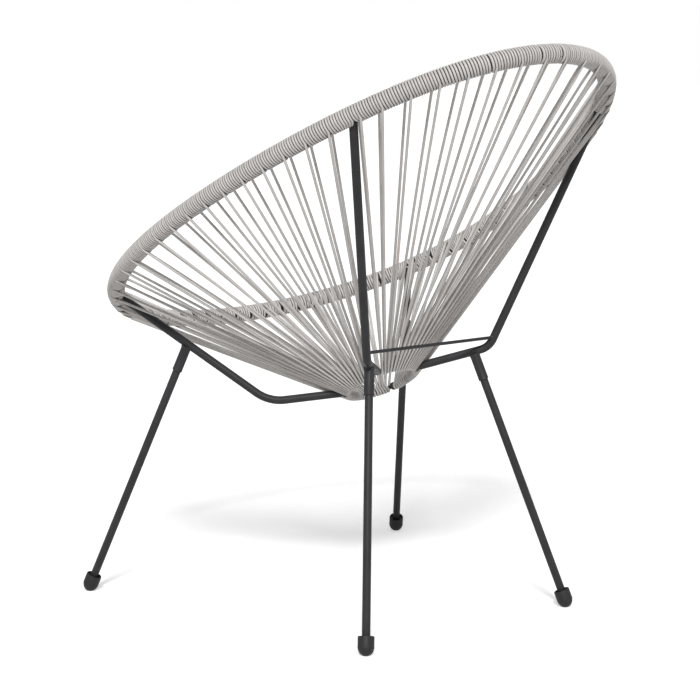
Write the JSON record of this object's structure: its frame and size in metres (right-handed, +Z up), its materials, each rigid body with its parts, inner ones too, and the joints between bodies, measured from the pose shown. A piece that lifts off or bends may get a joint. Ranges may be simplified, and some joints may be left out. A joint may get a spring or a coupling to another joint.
{
  "type": "strung lounge chair",
  "caption": "Round lounge chair with an egg-shaped hoop wound and strung with light grey cord down to a small base ring, on slim dark steel legs with rubber foot caps.",
  "frame": {"origin": "on the floor, under the middle of the hoop and midway between its left and right sides", "axes": "+Z up; the sitter looks along -Y; +X is the sitter's left"},
  "size_m": [0.714, 0.7962, 0.8497],
  "materials": {
    "steel": "charcoal powder coat, satin with a fine texture",
    "cord": "warm light grey round PVC cord with a soft sheen",
    "rubber": "near-black moulded rubber, satin"
  },
  "bodies": {
    "root": {"hoop_tube": "steel", "base_ring": "steel", "rear_crossbar": "steel", "front_arm_left": "steel", "front_arm_right": "steel", "rear_arm_left": "steel", "rear_arm_right": "steel", "front_socket_left": "steel", "front_socket_right": "steel", "rear_socket_left": "steel", "rear_socket_right": "steel", "front_leg_left": "steel", "front_leg_right": "steel", "rear_leg_left": "steel", "rear_leg_right": "steel", "front_foot_cap_left": "rubber", "front_foot_cap_right": "rubber", "rear_foot_cap_left": "rubber", "rear_foot_cap_right": "rubber", "cord_section_01": "cord", "cord_section_02": "cord", "cord_section_03": "cord", "cord_section_04": "cord", "cord_section_05": "cord", "cord_section_06": "cord", "cord_section_07": "cord", "cord_section_08": "cord", "cord_section_09": "cord", "cord_section_10": "cord", "cord_section_11": "cord", "cord_section_12": "cord", "cord_section_13": "cord", "cord_section_14": "cord"}
  },
  "joints": []
}
